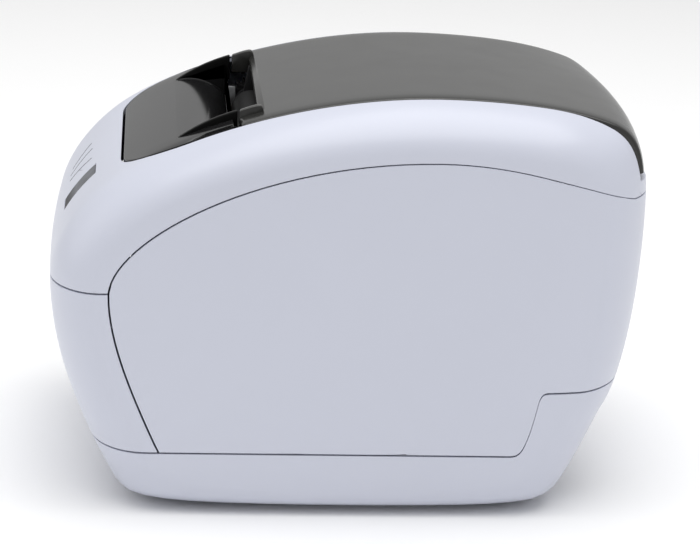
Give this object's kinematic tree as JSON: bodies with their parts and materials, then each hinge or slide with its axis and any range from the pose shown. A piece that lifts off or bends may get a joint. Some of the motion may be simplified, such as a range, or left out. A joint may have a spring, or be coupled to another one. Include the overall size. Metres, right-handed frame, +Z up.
{
  "type": "thermal label printer",
  "caption": "Desktop thermal label printer with a rounded white casing, a smoked lid hinged at the rear over a media bin, a top exit slot with a tear bar, a feed button and status lights.",
  "frame": {"origin": "middle of the casing's outline at the height of the feet's undersides", "axes": "+Z up, front (feed button) towards -Y, width along X; the side seen first is +X"},
  "size_m": [0.176, 0.224, 0.1548],
  "materials": {
    "white_shell": "satin moulded",
    "black_gloss": "gloss",
    "smoked_lid": "smoked satin gloss",
    "black_plastic": "fine texture",
    "grey_button": "satin",
    "light_pipe": "translucent",
    "circuit_board": "solder mask",
    "sheet_steel": "brushed",
    "bright_steel": "ground",
    "head_aluminium": "brushed",
    "head_ceramic": "glazed",
    "platen_rubber": "ground matt",
    "foot_rubber": "matt",
    "gear_plastic": "satin",
    "brass": "cut",
    "guide_plastic": "fine texture"
  },
  "bodies": {
    "casing": {"base_housing": "white_shell", "body_housing": "white_shell", "front_cover": "white_shell", "top_housing": "white_shell", "front_panel": "black_gloss", "tear_bar": "sheet_steel", "hinge_brackets": "black_plastic", "hinge_pins": "bright_steel", "light_pipes": "light_pipe", "key_board": "circuit_board", "side_plate_left": "sheet_steel", "side_plate_right": "sheet_steel", "mechanism_frame": "sheet_steel", "head_pivot_shaft": "bright_steel", "head_springs": "bright_steel", "idler_pin": "bright_steel", "stepper_motor": "head_aluminium", "media_tray": "black_plastic", "rack_cover": "black_plastic", "gap_sensor": "black_plastic", "lid_switch": "black_plastic", "main_board": "circuit_board", "usb_socket": "bright_steel", "dc_jack": "black_plastic", "power_switch": "black_plastic", "rubber_feet": "foot_rubber", "base_screws": "bright_steel", "board_screws": "bright_steel", "mechanism_screws": "bright_steel"},
    "lid": {"lid_cover": "smoked_lid", "lid_frame": "black_plastic", "platen_bushes": "black_plastic"},
    "platen": {"platen_roller": "platen_rubber", "platen_shaft": "bright_steel", "platen_gear": "gear_plastic"},
    "idler": {"idler_gear": "gear_plastic"},
    "motor_rotor": {"motor_pinion": "brass"},
    "print_head_arm": {"head_bracket": "sheet_steel", "head_heatsink": "head_aluminium", "print_head": "head_ceramic"},
    "feed_key": {"feed_button": "grey_button"},
    "rocker": {"power_rocker": "black_plastic"},
    "left_guide": {"guide_left": "guide_plastic"},
    "right_guide": {"guide_right": "guide_plastic"},
    "centring_gear": {"centring_pinion": "gear_plastic"}
  },
  "joints": [
    {"name": "lid_hinge", "type": "hinge", "parent": "casing", "child": "lid", "pos_m": [0, 0.101, 0.135], "axis": [-1, 0, 0], "range_deg": [0, 95]},
    {"name": "platen_spin", "type": "hinge", "parent": "lid", "child": "platen", "pos_m": [0, -0.0345, 0.126], "axis": [1, 0, 0], "continuous": true},
    {"name": "idler_spin", "type": "hinge", "parent": "casing", "child": "idler", "pos_m": [-0.065, -0.0345, 0.1116], "axis": [1, 0, 0], "continuous": true},
    {"name": "motor_spin", "type": "hinge", "parent": "casing", "child": "motor_rotor", "pos_m": [-0.065, -0.042, 0.0888], "axis": [1, 0, 0], "continuous": true},
    {"name": "head_pivot", "type": "hinge", "parent": "casing", "child": "print_head_arm", "pos_m": [0, -0.053, 0.109], "axis": [1, 0, 0], "range_deg": [0, 3], "stiffness_Nm_per_rad": 5, "springref_deg": -2.86, "deforming": ["head_springs"]},
    {"name": "feed_button_press", "type": "slide", "parent": "casing", "child": "feed_key", "axis": [0, 0.766, -0.6428], "range_m": [0, 0.0012], "stiffness_N_per_m": 400},
    {"name": "power_rocker_tilt", "type": "hinge", "parent": "casing", "child": "rocker", "pos_m": [0.042, 0.0746, 0.018], "axis": [0, 0, 1], "range_deg": [-8, 8]},
    {"name": "left_guide_slide", "type": "slide", "parent": "casing", "child": "left_guide", "axis": [1, 0, 0], "range_m": [-0.014, 0.026]},
    {"name": "right_guide_slide", "type": "slide", "parent": "casing", "child": "right_guide", "axis": [1, 0, 0], "range_m": [-0.026, 0.014]},
    {"name": "centring_gear_turn", "type": "hinge", "parent": "casing", "child": "centring_gear", "pos_m": [0, 0.028, 0.0235], "axis": [0, 0, 1], "range_deg": [-190, 190]}
  ],
  "couplings": [
    {"joint": "idler_spin", "follows": "platen_spin", "ratio": -1.25},
    {"joint": "motor_spin", "follows": "platen_spin", "ratio": 4.1071},
    {"joint": "right_guide_slide", "follows": "left_guide_slide", "ratio": -1},
    {"joint": "centring_gear_turn", "follows": "left_guide_slide", "rad_per_m": 125}
  ]
}
